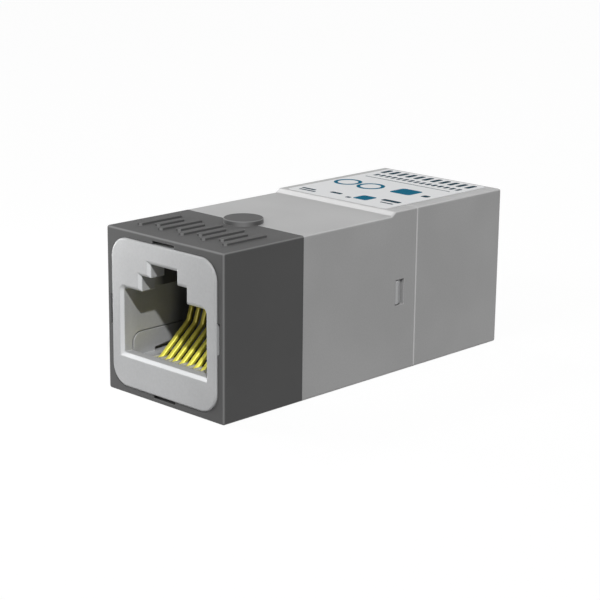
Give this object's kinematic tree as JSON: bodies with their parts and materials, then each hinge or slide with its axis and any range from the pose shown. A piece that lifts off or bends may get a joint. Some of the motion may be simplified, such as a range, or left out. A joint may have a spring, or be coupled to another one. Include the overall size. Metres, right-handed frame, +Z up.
{
  "type": "network isolator",
  "caption": "Small in-line network isolator: a square plastic bar with a keyed modular socket in each end and ring transformers between them.",
  "frame": {"origin": "under the middle of the housing, on the surface it lies on", "axes": "+Y from the front socket to the rear one, +Z up out of the labelled top, +X to the right seen from the front"},
  "size_m": [0.0166, 0.0414, 0.0171],
  "materials": {
    "cap_plastic": "moulded dark grey, fine spark texture",
    "housing_plastic": "moulded light grey, fine spark texture",
    "socket_plastic": "moulded pale grey, smooth",
    "contact_gold": "gold plated spring strip",
    "board_laminate": "green solder mask",
    "core_ferrite": "coated ferrite",
    "winding_wire": "enamelled copper wire",
    "label_film": null
  },
  "bodies": {
    "root": {"front_cap": "cap_plastic", "main_housing": "housing_plastic", "rear_cap": "housing_plastic", "top_label": "label_film", "front_jack_body": "socket_plastic", "rear_jack_body": "socket_plastic", "front_contact_carrier": "socket_plastic", "rear_contact_carrier": "socket_plastic", "front_contact_1": "contact_gold", "front_contact_2": "contact_gold", "front_contact_3": "contact_gold", "front_contact_4": "contact_gold", "front_contact_5": "contact_gold", "front_contact_6": "contact_gold", "front_contact_7": "contact_gold", "front_contact_8": "contact_gold", "rear_contact_1": "contact_gold", "rear_contact_2": "contact_gold", "rear_contact_3": "contact_gold", "rear_contact_4": "contact_gold", "rear_contact_5": "contact_gold", "rear_contact_6": "contact_gold", "rear_contact_7": "contact_gold", "rear_contact_8": "contact_gold", "circuit_board": "board_laminate", "pair_1_core": "core_ferrite", "pair_1_primary": "winding_wire", "pair_1_secondary": "winding_wire", "pair_2_core": "core_ferrite", "pair_2_primary": "winding_wire", "pair_2_secondary": "winding_wire", "pair_3_core": "core_ferrite", "pair_3_primary": "winding_wire", "pair_3_secondary": "winding_wire", "pair_4_core": "core_ferrite", "pair_4_primary": "winding_wire", "pair_4_secondary": "winding_wire"}
  },
  "joints": []
}
